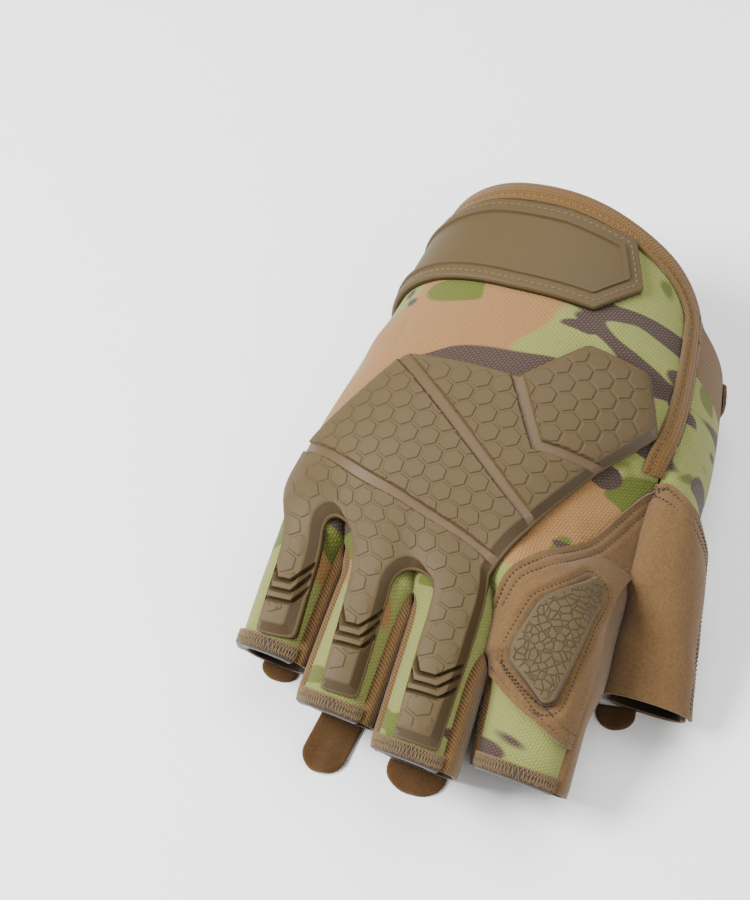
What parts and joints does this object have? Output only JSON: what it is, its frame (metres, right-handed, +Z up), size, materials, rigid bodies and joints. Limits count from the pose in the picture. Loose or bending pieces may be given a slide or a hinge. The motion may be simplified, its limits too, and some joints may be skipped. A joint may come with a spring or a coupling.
{
  "type": "fingerless tactical glove",
  "caption": "Right-hand fingerless glove lying palm down, with a moulded knuckle guard, wrist strap, suede palm and saddle, ribbed fourchettes and bound wrist edge.",
  "frame": {"origin": "on the surface that the palm rests on, below the middle of the glove's outline", "axes": "+Z up from the palm to the back of the hand, -Y towards the finger ends, +X towards the thumb"},
  "size_m": [0.1263, 0.1784, 0.06],
  "materials": {
    "rubber": "matte",
    "suede": "matte",
    "tape": "matte",
    "ribbed_fabric": "matte",
    "thread": "matte",
    "camo_mesh": "matte"
  },
  "bodies": {
    "root": {"back_panel": "camo_mesh", "wrist_gusset": "camo_mesh", "heel_wrap": "ribbed_fabric", "palm_panel": "suede", "thumb_web": "suede", "fourchette_middle_index": "ribbed_fabric", "fourchette_ring_middle": "ribbed_fabric", "fourchette_little_ring": "ribbed_fabric", "suede_saddle": "suede", "index_pad": "rubber", "knuckle_guard": "rubber", "wrist_strap": "rubber", "cuff_binding": "tape", "overlock_index": "thread", "overlock_middle": "thread", "overlock_ring": "thread", "overlock_little": "thread", "pull_tab_little": "suede", "pull_tab_ring": "suede", "pull_tab_middle": "suede", "pull_tab_thumb": "suede"}
  },
  "joints": []
}
